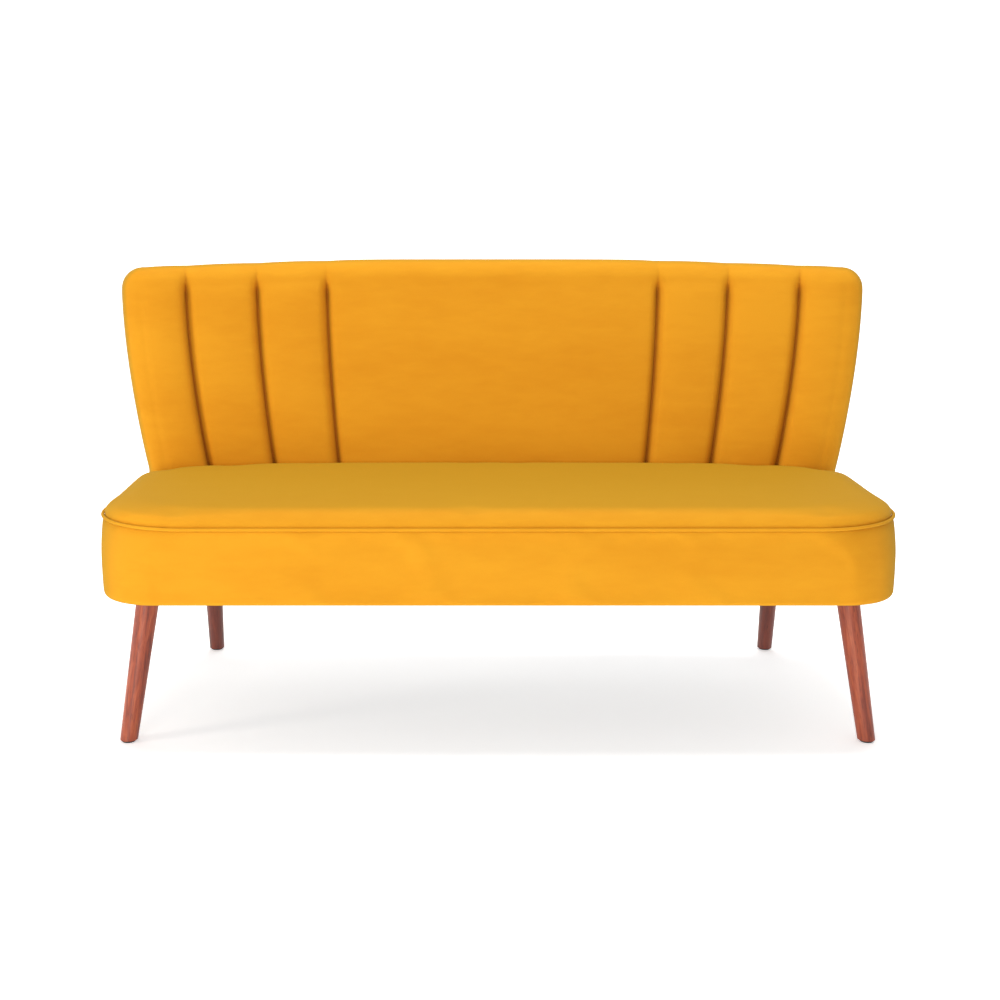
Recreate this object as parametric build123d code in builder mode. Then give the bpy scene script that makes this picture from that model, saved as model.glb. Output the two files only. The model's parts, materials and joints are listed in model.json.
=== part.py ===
from build123d import *
from math import cos, degrees, radians, sin, sqrt, tan
import os

os.makedirs("parts", exist_ok=True)

# Armless loveseat. Millimetres, X to the right, Y to the back, Z up from the floor.
overall_depth = 706
overall_height = 820
seat_front = -overall_depth / 2

# Seat: a box with a plain border, a piped edge and a crowned top panel
seat_bottom = 265
piping_height = 395
seat_crown = 425
seat_half_width = 686
seat_corner = 130
cover_thickness = 2
frame_inset = 12
piping_radius = 2.5
piping_proud = 0.5
crown_rounding = 24

# Seat frame
rail_bottom = 266
rail_top = 332
rail_thickness = 28
block_length = 134
front_block_depth = 155
rear_block_start = 117
spring_plane = rail_top + 2
spring_wire = 1.9
spring_half_width = 22
spring_pitch = 28
spring_bend = 12
spring_places = (60, 180, 350, 495, 610)
clip_width = 12
clip_length = 9
clip_height = 5
clip_wall = 2
felt_bottom = 337.5
felt_top = 340.5
foam_bottom = 341

# Back: a flat centre panel between two wings that curve forward, leaning and flaring upward.
# Shifts are measured backward from the face of the front board, so the padding is negative.
panel_share = 0.46
wing_angle = 17
channel_angle = 5.92
frame_angle = 16.4
wing_low = 677
wing_high = 734
flare_power = 1.6
lean_angle = 12.5
lean_start = 400
roll_bottom = 775
pad_bottom = 345
pad_depth = 50
pad_gap = 0.25
post_front = 3
post_rear = 43
board_rear = 45
cover_rear = 47
wing_rounding = 40
roll_rounding = 28
former_bottom = 757
post_width = 44
post_angle = 1.85
batten_bottom = 560
batten_top = 600
bend_levels = (400, 475, 550, 650, 757)

# Legs: turned, tapered and splayed, each on a steel plate
front_foot = (645, 82)
front_head = (605, 114)
rear_foot = (587, 609)
rear_head = (577, 532)
foot_radius = 15
head_radius = 20
glide_height = 4
glide_radius = 12
plate_size = 76
plate_thickness = 2.5
plate_gap = 0.1
plate_bottom = seat_bottom - plate_gap - plate_thickness
leg_top = plate_bottom - plate_gap
bolt_radius = 4
bolt_in_leg = 45
bolt_in_block = 25
insert_radius = 6
insert_length = 20
screw_spacing = 60
screw_radius = 1.9
screw_head_radius = 3.6
screw_head_height = 1.8
screw_reach = 22

# Dowels of the frame
dowel_radius = 5
dowel_length = 50
dowel_heights = (285, 313)
play = 0.05


def at_depth(depth):
    return seat_front + depth


def half_width(level):
    rise = max(0, level - lean_start) / (roll_bottom - lean_start)
    return wing_low + (wing_high - wing_low) * (1 - (1 - rise) ** flare_power)


def flat_half(level):
    return panel_share * half_width(level)


def board_y(level):
    drop = roll_bottom - max(level, lean_start)
    return overall_depth / 2 - cover_rear - drop * tan(radians(lean_angle))


def arc_radius(level, shift):
    padding_radius = (half_width(level) - flat_half(level)) / sin(radians(wing_angle))
    return padding_radius + pad_depth + shift


def back_point(level, angle, shift, side=1):
    radius = arc_radius(level, shift)
    x = flat_half(level) + radius * sin(radians(angle))
    y = board_y(level) - arc_radius(level, 0) + radius * cos(radians(angle))
    return (side * x, y)


def back_y(level, x, shift):
    # Y of the back's plan curve at a given distance from the middle
    reach = max(0, abs(x) - flat_half(level))
    radius = arc_radius(level, shift)
    return board_y(level) - arc_radius(level, 0) + sqrt(radius**2 - reach**2)


def levels_between(low, high):
    return [low] + [level for level in bend_levels if low < level < high] + [high]


def wing_section(level, start, end, front, rear, side, rounding=0):
    middle = (start + end) / 2
    with BuildSketch(Plane.XY.offset(level)) as section:
        with BuildLine():
            ThreePointArc(*[back_point(level, angle, front, side) for angle in (start, middle, end)])
            Line(back_point(level, end, front, side), back_point(level, end, rear, side))
            ThreePointArc(*[back_point(level, angle, rear, side) for angle in (end, middle, start)])
            Line(back_point(level, start, rear, side), back_point(level, start, front, side))
        make_face()
        if rounding:
            corner = back_point(level, end, front, side)
            fillet(section.vertices().sort_by_distance((*corner, level))[0], rounding)
    return section.sketch


def band_section(level, angle, front, rear, rounding=0):
    # The whole width of the back, from wing to wing
    with BuildSketch(Plane.XY.offset(level)) as section:
        with BuildLine():
            for shift in (front, rear):
                for side in (-1, 1):
                    ThreePointArc(*[back_point(level, angle * step, shift, side) for step in (0, 0.5, 1)])
                Line(back_point(level, 0, shift, -1), back_point(level, 0, shift))
            for side in (-1, 1):
                Line(back_point(level, angle, front, side), back_point(level, angle, rear, side))
        make_face()
        if rounding:
            for side in (-1, 1):
                for shift, share in ((front, 1), (rear, 0.75)):
                    corner = back_point(level, angle, shift, side)
                    near = section.vertices().sort_by_distance((*corner, level))[0]
                    fillet(near, rounding * share)
    return section.sketch


def wing_sections(low, high, *shape):
    return [wing_section(level, *shape) for level in levels_between(low, high)]


def band_sections(low, high, *shape):
    return [band_section(level, *shape) for level in levels_between(low, high)]


def seat_outline(level, inset):
    width = seat_half_width - inset
    front = at_depth(piping_radius + piping_proud + inset)
    with BuildSketch(Plane.XY.offset(level)) as outline:
        with BuildLine():
            corners = [(-width, overall_depth), (-width, front), (width, front), (width, overall_depth)]
            FilletPolyline(*corners, radius=seat_corner - inset)
            Line((width, overall_depth), (-width, overall_depth))
        make_face()
    return outline.sketch


def seat_region(level, inset, shift):
    # The seat's outline in front of the back's plan curve
    far = -overall_depth
    angle = wing_angle + 4
    with BuildSketch(Plane.XY.offset(level)) as region:
        add(seat_outline(0, inset))
        with BuildLine():
            for side in (-1, 1):
                end = back_point(seat_bottom, angle, shift, side)
                ThreePointArc(*[back_point(seat_bottom, angle * step, shift, side) for step in (0, 0.5, 1)])
                Line(end, (end[0], far))
            Line(back_point(seat_bottom, 0, shift, -1), back_point(seat_bottom, 0, shift))
            Line((-end[0], far), (end[0], far))
        make_face(mode=Mode.INTERSECT)
    return region.sketch


def leg_axis(foot, head, side):
    start = Vector(side * foot[0], at_depth(foot[1]), 0)
    end = Vector(side * head[0], at_depth(head[1]), leg_top)
    return start, (end - start).normalized()


def along_axis(foot, head, side, height, radius, length):
    # A round bar on the leg's axis, from the point at the given height
    start, direction = leg_axis(foot, head, side)
    base = start + direction * (height / direction.Z)
    with BuildPart() as bar:
        with BuildSketch(Plane(origin=base, z_dir=direction)):
            Circle(radius)
        extrude(amount=length)
    return bar.part


def plate_corners(head, side):
    half = screw_spacing / 2
    x = side * head[0]
    y = at_depth(head[1])
    return [(x - half, y - half), (x + half, y - half), (x - half, y + half), (x + half, y + half)]


leg_sets = [
    ("front_left", front_foot, front_head, -1),
    ("front_right", front_foot, front_head, 1),
    ("rear_left", rear_foot, rear_head, -1),
    ("rear_right", rear_foot, rear_head, 1),
]

post_sets = []
for side, side_name in ((-1, "left"), (1, "right")):
    post_sets.append((f"back_post_{side_name}_centre", None, side))
    post_sets.append((f"back_post_{side_name}_inner", channel_angle, side))
    post_sets.append((f"back_post_{side_name}_outer", 2 * channel_angle, side))
    post_sets.append((f"back_post_{side_name}_end", frame_angle - post_angle / 2, side))


def post_foot(angle, side):
    # Middle of a post where it stands on the rear rail
    middle = (post_front + post_rear) / 2
    if angle is None:
        return (side * (flat_half(rail_top) - post_width / 2), board_y(rail_top) + middle)
    return back_point(rail_top, angle, middle, side)


def drill_post_dowels():
    for _, angle, side in post_sets:
        with Locations((*post_foot(angle, side), rail_top)):
            Cylinder(dowel_radius + play, dowel_length + 1, mode=Mode.SUBTRACT)


def drill_frame_dowels():
    for plane in frame_dowel_planes():
        with BuildSketch(plane) as hole:
            Circle(dowel_radius + play)
        extrude(hole.sketch, amount=dowel_length / 2 + 0.5, both=True, mode=Mode.SUBTRACT)


def frame_dowel_planes():
    planes = []
    rail_y = at_depth(piping_radius + piping_proud + frame_inset + rail_thickness / 2)
    rail_x = seat_half_width - frame_inset - rail_thickness / 2
    for height in dowel_heights:
        for side in (-1, 1):
            rail_end = side * (seat_half_width - frame_inset - block_length)
            planes.append(Plane(origin=(rail_end, rail_y, height), z_dir=(1, 0, 0)))
            block_end = at_depth(piping_radius + piping_proud + frame_inset + front_block_depth)
            planes.append(Plane(origin=(side * rail_x, block_end, height), z_dir=(0, 1, 0)))
    return planes


def drill_leg_holes():
    for _, foot, head, side in leg_sets:
        hole = along_axis(foot, head, side, leg_top - 10, insert_radius + play, 45)
        add(hole, mode=Mode.SUBTRACT)
        with Locations([(x, y, rail_bottom) for x, y in plate_corners(head, side)]):
            Cylinder(screw_radius + play, 2 * screw_reach, mode=Mode.SUBTRACT)


def make_front_rail():
    length = 2 * (seat_half_width - frame_inset - block_length)
    front = at_depth(piping_radius + piping_proud + frame_inset)
    with BuildPart() as rail:
        with BuildSketch(Plane.XY.offset(rail_bottom)):
            with Locations((0, front + rail_thickness / 2)):
                Rectangle(length, rail_thickness)
        extrude(amount=rail_top - rail_bottom)
        drill_frame_dowels()
    rail.part.label = "seat_front_rail"
    export_step(rail.part, "parts/seat_front_rail.step")


def make_rear_rail():
    with BuildPart() as rail:
        extrude(band_section(rail_bottom, frame_angle, post_front, post_rear), amount=rail_top - rail_bottom)
        drill_post_dowels()
        drill_leg_holes()
    rail.part.label = "seat_rear_rail"
    export_step(rail.part, "parts/seat_rear_rail.step")


def make_side_rail(name, side):
    front = at_depth(piping_radius + piping_proud + frame_inset + front_block_depth)
    inner = seat_half_width - frame_inset - rail_thickness
    outer = seat_half_width - frame_inset
    with BuildPart() as rail:
        extrude(seat_region(rail_bottom, frame_inset, post_front - play), amount=rail_top - rail_bottom)
        with BuildSketch(Plane.XY.offset(rail_bottom)):
            with Locations((side * (inner + outer) / 2, front + overall_depth / 2)):
                Rectangle(outer - inner, overall_depth)
        extrude(amount=rail_top - rail_bottom, mode=Mode.INTERSECT)
        drill_frame_dowels()
    rail.part.label = name
    export_step(rail.part, f"parts/{name}.step")


def make_front_block(name, side):
    outer = seat_half_width - frame_inset
    front = at_depth(piping_radius + piping_proud + frame_inset)
    with BuildPart() as block:
        with BuildSketch(Plane.XY.offset(rail_bottom)) as profile:
            with Locations((side * (outer - block_length / 2), front + front_block_depth / 2)):
                Rectangle(block_length, front_block_depth)
            corner = profile.vertices().sort_by_distance((side * outer, front, rail_bottom))[0]
            fillet(corner, seat_corner - frame_inset)
        extrude(amount=rail_top - rail_bottom)
        drill_frame_dowels()
        drill_leg_holes()
    block.part.label = name
    export_step(block.part, f"parts/{name}.step")


def make_rear_block(name, side):
    outer = seat_half_width - frame_inset - rail_thickness
    inner = outer - block_length
    front = rear_block_start
    with BuildPart() as block:
        extrude(seat_region(rail_bottom, frame_inset, post_front - play), amount=rail_top - rail_bottom)
        with BuildSketch(Plane.XY.offset(rail_bottom)):
            with Locations((side * (inner + outer) / 2, front + overall_depth / 2)):
                Rectangle(outer - inner, overall_depth)
        extrude(amount=rail_top - rail_bottom, mode=Mode.INTERSECT)
        drill_leg_holes()
    block.part.label = name
    export_step(block.part, f"parts/{name}.step")


def make_cross_rail():
    front = at_depth(piping_radius + piping_proud + frame_inset + rail_thickness)
    rear = board_y(rail_bottom) + post_front
    with BuildPart() as rail:
        with BuildSketch(Plane.XY.offset(rail_bottom)):
            with Locations((0, (front + rear) / 2)):
                Rectangle(rail_thickness, rear - front)
        extrude(amount=rail_top - rail_bottom - 12)
    rail.part.label = "seat_cross_rail"
    export_step(rail.part, "parts/seat_cross_rail.step")


def spring_ends(x):
    # The outermost springs start further back, where the corner of the frame is rounded
    corner = seat_corner - frame_inset - rail_thickness / 2
    overhang = max(0, x + spring_half_width - (seat_half_width - seat_corner))
    setback = corner - sqrt(corner**2 - overhang**2)
    front = at_depth(piping_radius + piping_proud + frame_inset + rail_thickness / 2)
    rear = back_y(rail_top, x, (post_front + post_rear) / 2 - 6)
    return front + setback, rear


def make_springs():
    with BuildPart() as springs:
        for place in spring_places:
            for side in (-1, 1):
                x = side * place
                front, rear = spring_ends(place)
                runs = 2 * round((rear - front) / spring_pitch / 2)
                pitch = (rear - front) / runs
                points = []
                for run in range(runs + 1):
                    sweep_side = -1 if run % 2 == 0 else 1
                    y = front + run * pitch
                    points.append((x + sweep_side * spring_half_width, y, spring_plane))
                    points.append((x - sweep_side * spring_half_width, y, spring_plane))
                with BuildLine() as path:
                    FilletPolyline(*points, radius=spring_bend)
                with BuildSketch(Plane(origin=points[0], z_dir=(1, 0, 0))):
                    Circle(spring_wire)
                sweep(path=path.wires()[0])
    springs.part.label = "seat_springs"
    export_step(springs.part, "parts/seat_springs.step")


def make_clips():
    places = []
    for place in spring_places:
        for side in (-1, 1):
            places += [(side * place, y, rail_top) for y in spring_ends(place)]
    bottom = (Align.CENTER, Align.CENTER, Align.MIN)
    with BuildPart() as clips:
        with Locations(places):
            Box(clip_width, clip_length, clip_height, align=bottom)
            Box(clip_width, clip_length - 2 * clip_wall, clip_height - 1, align=bottom, mode=Mode.SUBTRACT)
    clips.part.label = "spring_clips"
    export_step(clips.part, "parts/spring_clips.step")


def make_felt():
    inset = frame_inset + 2
    with BuildPart() as felt:
        extrude(seat_region(felt_bottom, inset, -pad_depth - 2), amount=felt_top - felt_bottom)
    felt.part.label = "insulator_felt"
    export_step(felt.part, "parts/insulator_felt.step")


def crown_edges(piece):
    # The top edge of the seat, without the edges that meet the back
    limit = back_point(seat_bottom, wing_angle, -pad_depth)[1] - 20
    top_edges = piece.faces().sort_by(Axis.Z)[-1].edges()
    return top_edges.filter_by(lambda edge: edge.center().Y < limit)


def make_foam():
    step = piping_height - 2.5
    inset = cover_thickness + 0.1
    with BuildPart() as foam:
        extrude(seat_region(foam_bottom, frame_inset, -pad_depth - 1), amount=step - foam_bottom)
        rise = seat_crown - cover_thickness - 0.1 - step
        extrude(seat_region(step, inset, -pad_depth - 1), amount=rise)
        fillet(crown_edges(foam), crown_rounding)
    foam.part.label = "seat_foam"
    export_step(foam.part, "parts/seat_foam.step")


def make_top_cover():
    bottom = piping_height + piping_radius + 0.3
    inner = seat_region(bottom, cover_thickness, 0)
    with BuildPart() as hollow:
        extrude(inner, amount=seat_crown - cover_thickness - bottom)
        fillet(crown_edges(hollow), crown_rounding)
    with BuildPart() as cover:
        extrude(seat_region(bottom, 0, -pad_depth - 1), amount=seat_crown - bottom)
        fillet(crown_edges(cover), crown_rounding + cover_thickness)
        add(hollow.part, mode=Mode.SUBTRACT)
    cover.part.label = "seat_top_cover"
    export_step(cover.part, "parts/seat_top_cover.step")


def make_border(name, low, high, outer, inner):
    with BuildPart() as border:
        extrude(seat_region(low, outer, -pad_depth - 1), amount=high - low)
        extrude(seat_outline(low, inner), amount=high - low, mode=Mode.SUBTRACT)
    border.part.label = name
    export_step(border.part, f"parts/{name}.step")


def make_piping():
    outline_inset = -piping_proud
    width = seat_half_width - outline_inset
    front = at_depth(piping_radius)
    rear = back_point(seat_bottom, wing_angle, -pad_depth - 1)[1]
    corners = [(-width, rear), (-width, front), (width, front), (width, rear)]
    with BuildPart() as piping:
        with BuildLine(Plane.XY.offset(piping_height)) as path:
            FilletPolyline(*corners, radius=seat_corner + piping_proud)
        with BuildSketch(Plane(origin=(-width, rear, piping_height), z_dir=(0, -1, 0))):
            Circle(piping_radius)
        sweep(path=path.wires()[0])
    piping.part.label = "seat_piping"
    export_step(piping.part, "parts/seat_piping.step")


def make_dust_cover():
    with BuildPart() as sheet:
        extrude(seat_region(seat_bottom, frame_inset, post_rear), amount=rail_bottom - seat_bottom)
        drill_leg_holes()
    sheet.part.label = "dust_cover"
    export_step(sheet.part, "parts/dust_cover.step")


def make_post(name, angle, side):
    sections = []
    for level in levels_between(rail_top, former_bottom):
        if angle is None:
            flat = side * (flat_half(level) - post_width / 2)
            middle = board_y(level) + (post_front + post_rear) / 2
            with BuildSketch(Plane.XY.offset(level)) as section:
                with Locations((flat, middle)):
                    Rectangle(post_width, post_rear - post_front)
            sections.append(section.sketch)
        else:
            half = post_angle / 2
            sections.append(wing_section(level, angle - half, angle + half, post_front, post_rear, side))
    with BuildPart() as post:
        loft(sections, ruled=True)
        drill_post_dowels()
    post.part.label = name
    export_step(post.part, f"parts/{name}.step")


def make_post_dowels():
    with BuildPart() as dowels:
        with Locations([(*post_foot(angle, side), rail_top) for _, angle, side in post_sets]):
            Cylinder(dowel_radius, dowel_length)
    dowels.part.label = "post_dowels"
    export_step(dowels.part, "parts/post_dowels.step")


def make_frame_dowels():
    with BuildPart() as dowels:
        for plane in frame_dowel_planes():
            with BuildSketch(plane):
                Circle(dowel_radius)
            extrude(amount=dowel_length / 2, both=True)
    dowels.part.label = "frame_dowels"
    export_step(dowels.part, "parts/frame_dowels.step")


def make_band(name, low, high, angle, front, rear):
    with BuildPart() as band:
        loft(band_sections(low, high, angle, front, rear), ruled=True)
    band.part.label = name
    export_step(band.part, f"parts/{name}.step")


def make_batten():
    sections = []
    for level in (batten_bottom, batten_top):
        with BuildSketch(Plane.XY.offset(level)) as section:
            with Locations((0, board_y(level) + (post_front + post_rear) / 2)):
                Rectangle(2 * (flat_half(batten_bottom) - post_width) - 1, post_rear - post_front)
        sections.append(section.sketch)
    with BuildPart() as batten:
        loft(sections, ruled=True)
    batten.part.label = "back_centre_batten"
    export_step(batten.part, "parts/back_centre_batten.step")


def make_centre_channel():
    sections = []
    for level in levels_between(pad_bottom, roll_bottom):
        with BuildSketch(Plane.XY.offset(level)) as section:
            with Locations((0, board_y(level) - pad_depth / 2)):
                Rectangle(2 * (flat_half(level) - pad_gap), pad_depth)
        sections.append(section.sketch)
    with BuildPart() as channel:
        loft(sections, ruled=True)
    channel.part.label = "back_channel_centre"
    export_step(channel.part, "parts/back_channel_centre.step")


def make_channel(name, number, side):
    gap = degrees(pad_gap / arc_radius(roll_bottom, 0))
    start = number * channel_angle + gap
    end = (number + 1) * channel_angle - gap
    with BuildPart() as channel:
        loft(wing_sections(pad_bottom, roll_bottom, start, end, -pad_depth, 0, side), ruled=True)
    channel.part.label = name
    export_step(channel.part, f"parts/{name}.step")


def make_outer_channel(name, side):
    # Wraps round the end of the frame
    gap = degrees(pad_gap / arc_radius(roll_bottom, 0))
    start = 2 * channel_angle + gap
    shape = (start, wing_angle, -pad_depth, board_rear, side, wing_rounding)
    hollow = (start - 2, frame_angle + 0.03, 0, cover_rear, side)
    with BuildPart() as channel:
        loft(wing_sections(pad_bottom, roll_bottom, *shape), ruled=True)
        loft(wing_sections(pad_bottom, roll_bottom, *hollow), ruled=True, mode=Mode.SUBTRACT)
    channel.part.label = name
    export_step(channel.part, f"parts/{name}.step")


def make_wing_base_pad(name, side):
    # Fills the side of the base between the seat's border and the rear corner
    inner = seat_half_width - frame_inset + 0.5
    start = back_y(seat_bottom, inner, -pad_depth - 1) + 1
    end = back_point(seat_bottom, wing_angle, board_rear, side)
    tail = back_point(seat_bottom, frame_angle, board_rear, side)
    height = pad_bottom - rail_bottom - 0.2
    with BuildPart() as pad:
        with BuildSketch(Plane.XY.offset(rail_bottom)):
            with BuildLine():
                Polyline((side * inner, start), (side * seat_half_width, start), end, tail, close=True)
            make_face()
        extrude(amount=height)
        hollow = wing_section(rail_bottom, wing_angle - 4, frame_angle + 0.03, -play, cover_rear, side)
        extrude(hollow, amount=height, mode=Mode.SUBTRACT)
    pad.part.label = name
    export_step(pad.part, f"parts/{name}.step")


def make_top_roll():
    section = band_section(roll_bottom, wing_angle, -pad_depth, cover_rear, wing_rounding)
    with BuildPart() as roll:
        extrude(section, amount=overall_height - roll_bottom)
        fillet(roll.faces().sort_by(Axis.Z)[-1].edges(), roll_rounding)
    roll.part.label = "back_top_roll"
    export_step(roll.part, "parts/back_top_roll.step")


def make_leg(name, foot, head, side):
    start, direction = leg_axis(foot, head, side)
    length = leg_top / direction.Z
    growth = (head_radius - foot_radius) / length
    spare = 30
    with BuildPart() as leg:
        with BuildSketch(Plane(origin=start - direction * spare, z_dir=direction)):
            Circle(foot_radius - growth * spare)
        with BuildSketch(Plane(origin=start + direction * (length + spare), z_dir=direction)):
            Circle(head_radius + growth * spare)
        loft()
        split(bisect_by=Plane.XY.offset(glide_height), keep=Keep.TOP)
        split(bisect_by=Plane.XY.offset(leg_top), keep=Keep.BOTTOM)
        hole = along_axis(foot, head, side, leg_top - bolt_in_leg - 1, bolt_radius + play, 80)
        add(hole, mode=Mode.SUBTRACT)
    leg.part.label = f"leg_{name}"
    export_step(leg.part, f"parts/leg_{name}.step")


def make_glide(name, foot, side):
    with BuildPart() as glide:
        with BuildSketch():
            with Locations((side * foot[0], at_depth(foot[1]))):
                Circle(glide_radius)
        extrude(amount=glide_height)
        chamfer(glide.edges().sort_by(Axis.Z)[0], 1)
    glide.part.label = f"glide_{name}"
    export_step(glide.part, f"parts/glide_{name}.step")


def make_plate(name, foot, head, side):
    with BuildPart() as plate:
        with BuildSketch(Plane.XY.offset(plate_bottom)):
            with Locations((side * head[0], at_depth(head[1]))):
                RectangleRounded(plate_size, plate_size, 8)
        extrude(amount=plate_thickness)
        add(along_axis(foot, head, side, leg_top - 10, bolt_radius + play, 45), mode=Mode.SUBTRACT)
        with Locations([(x, y, plate_bottom) for x, y in plate_corners(head, side)]):
            Cylinder(screw_radius + 0.2, 4 * plate_thickness, mode=Mode.SUBTRACT)
    plate.part.label = f"leg_plate_{name}"
    export_step(plate.part, f"parts/leg_plate_{name}.step")


def make_hanger_bolts():
    with BuildPart() as bolts:
        for _, foot, head, side in leg_sets:
            length = bolt_in_leg + bolt_in_block
            add(along_axis(foot, head, side, leg_top - bolt_in_leg, bolt_radius, length))
    bolts.part.label = "leg_hanger_bolts"
    export_step(bolts.part, "parts/leg_hanger_bolts.step")


def make_inserts():
    with BuildPart() as inserts:
        for _, foot, head, side in leg_sets:
            add(along_axis(foot, head, side, rail_bottom + 4, insert_radius, insert_length))
        for _, foot, head, side in leg_sets:
            hole = along_axis(foot, head, side, leg_top, bolt_radius + play, 60)
            add(hole, mode=Mode.SUBTRACT)
    inserts.part.label = "leg_inserts"
    export_step(inserts.part, "parts/leg_inserts.step")


def make_plate_screws():
    bottom = (Align.CENTER, Align.CENTER, Align.MIN)
    with BuildPart() as screws:
        for _, _, head, side in leg_sets:
            head_bottom = plate_bottom - screw_head_height
            with Locations([(x, y, head_bottom) for x, y in plate_corners(head, side)]):
                Cylinder(screw_head_radius, screw_head_height, align=bottom)
                Cylinder(screw_radius, screw_reach, align=bottom)
    screws.part.label = "leg_plate_screws"
    export_step(screws.part, "parts/leg_plate_screws.step")


make_front_rail()
make_rear_rail()
make_cross_rail()
for side, side_name in ((-1, "left"), (1, "right")):
    make_side_rail(f"seat_{side_name}_rail", side)
    make_front_block(f"front_{side_name}_block", side)
    make_rear_block(f"rear_{side_name}_block", side)
    make_channel(f"back_channel_{side_name}_inner", 0, side)
    make_channel(f"back_channel_{side_name}_middle", 1, side)
    make_outer_channel(f"back_channel_{side_name}_outer", side)
    make_wing_base_pad(f"wing_base_pad_{side_name}", side)
make_springs()
make_clips()
make_felt()
make_foam()
make_border("border_padding", rail_bottom, 392, cover_thickness + 0.5, frame_inset - 0.5)
make_border("seat_border_cover", seat_bottom, piping_height - piping_radius - 0.3, 0, cover_thickness)
make_top_cover()
make_piping()
make_dust_cover()
for name, angle, side in post_sets:
    make_post(name, angle, side)
make_post_dowels()
make_frame_dowels()
make_batten()
make_band("back_top_former", former_bottom, roll_bottom, frame_angle, post_front, post_rear)
make_band("back_front_board", rail_top + 6, roll_bottom, frame_angle, 0, post_front)
make_band("back_rear_board", rail_bottom, roll_bottom, frame_angle, post_rear, board_rear)
make_band("back_outside_cover", seat_bottom, roll_bottom, wing_angle, board_rear, cover_rear)
make_centre_channel()
make_top_roll()
for name, foot, head, side in leg_sets:
    make_leg(name, foot, head, side)
    make_glide(name, foot, side)
    make_plate(name, foot, head, side)
make_hanger_bolts()
make_inserts()
make_plate_screws()
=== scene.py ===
import json
import math
import bmesh
import bpy
import numpy as np
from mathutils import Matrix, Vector, noise


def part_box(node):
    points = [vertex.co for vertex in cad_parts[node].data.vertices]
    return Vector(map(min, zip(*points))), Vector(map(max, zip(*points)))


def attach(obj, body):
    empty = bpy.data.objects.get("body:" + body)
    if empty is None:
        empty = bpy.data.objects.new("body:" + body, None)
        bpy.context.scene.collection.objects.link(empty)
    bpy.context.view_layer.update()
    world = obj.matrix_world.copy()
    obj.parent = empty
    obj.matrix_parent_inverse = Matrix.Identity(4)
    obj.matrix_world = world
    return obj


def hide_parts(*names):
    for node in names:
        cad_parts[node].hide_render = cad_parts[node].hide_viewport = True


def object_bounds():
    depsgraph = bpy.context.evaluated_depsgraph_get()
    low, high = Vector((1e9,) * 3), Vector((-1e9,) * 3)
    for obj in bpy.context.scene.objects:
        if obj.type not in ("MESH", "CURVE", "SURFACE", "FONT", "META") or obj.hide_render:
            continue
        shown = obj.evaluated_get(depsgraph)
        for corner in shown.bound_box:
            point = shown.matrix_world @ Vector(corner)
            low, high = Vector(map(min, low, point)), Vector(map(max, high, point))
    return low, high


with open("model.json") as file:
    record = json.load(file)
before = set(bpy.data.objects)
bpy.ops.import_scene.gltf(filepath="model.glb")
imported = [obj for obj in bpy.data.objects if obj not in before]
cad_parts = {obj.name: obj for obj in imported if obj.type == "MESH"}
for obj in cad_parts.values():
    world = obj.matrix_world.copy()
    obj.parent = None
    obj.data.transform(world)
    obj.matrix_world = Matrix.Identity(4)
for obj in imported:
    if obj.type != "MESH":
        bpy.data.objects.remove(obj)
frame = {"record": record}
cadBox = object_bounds()
scene = bpy.context.scene
scene.view_settings.view_transform = "Standard"
mm = 0.001


def boxOf(node):
    low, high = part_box(node)
    return Vector(low), Vector(high)


def middleOf(node):
    low, high = boxOf(node)
    return (low + high) / 2


def clamp(value):
    return min(1, max(0, value))


def mix(pair, share):
    return pair[0] + (pair[1] - pair[0]) * share


def quarterTurn(steps, first=1):
    return [math.pi / 2 * k / steps for k in range(first, steps + 1)]


# The back's law: a flat centre panel between two wings that curve forward, lean and flare
back = {
    "panelShare": 0.46,  # flat centre panel as a share of the half width
    "wingAngle": math.radians(17),
    "pleatAngles": (0, math.radians(5.92), math.radians(11.84)),
    "wingHalf": (0.677, 0.734),  # half width at the seat and at the top
    "flarePower": 1.6,
    "lean": math.radians(12.5),
    "leanStart": 0.400,
    "leanEase": 0.030,  # how softly the lean begins
    "padDepth": 0.050,
    "coverShift": 0.047,
    "coverGap": 0.001,  # the front cover's clearance to the outside cover
    "rounding": (0.008, 0.040),  # front edge of each wing, down at the base and above the seat
    "roundingLevels": (0.338, 0.395),
    "rollStart": 0.780,
    "rollRadius": 0.038,
    "endRollRadius": 0.044,
    "rearRadius": 0.016,
    "droop": 0.013,  # how much lower the top edge is at the wings
    "droopStart": 0.300,
    "droopPower": 1.2,
    "droopLevel": 0.75,  # where the run to the wings is measured for the droop
}
borderLow = boxOf("seat_border_cover")[0]
rollBottom, rollTop = [corner.z for corner in boxOf("back_top_roll")]
backRear = boxOf("back_outside_cover")[1].y


def halfWidth(level):
    rise = clamp((level - back["leanStart"]) / (rollBottom - back["leanStart"]))
    return mix(back["wingHalf"], 1 - (1 - rise) ** back["flarePower"])


def flatHalf(level):
    return back["panelShare"] * halfWidth(level)


def boardY(level):
    ease = back["leanEase"]
    rise = min(level, rollBottom) - back["leanStart"]
    eased = (rise + math.sqrt(rise * rise + ease * ease)) / 2
    full = rollBottom - back["leanStart"]
    return backRear - back["coverShift"] - (full - eased) * math.tan(back["lean"])


def arcRadius(level, shift):
    reach = halfWidth(level) - flatHalf(level)
    return reach / math.sin(back["wingAngle"]) + back["padDepth"] + shift


def backPoint(level, angle, shift):
    radius = arcRadius(level, shift)
    x = flatHalf(level) + radius * math.sin(angle)
    y = boardY(level) - arcRadius(level, 0) + radius * math.cos(angle)
    return x, y


def backY(level, x, shift):
    reach = max(0, abs(x) - flatHalf(level))
    radius = arcRadius(level, shift)
    return boardY(level) - arcRadius(level, 0) + math.sqrt(radius * radius - reach * reach)


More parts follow.
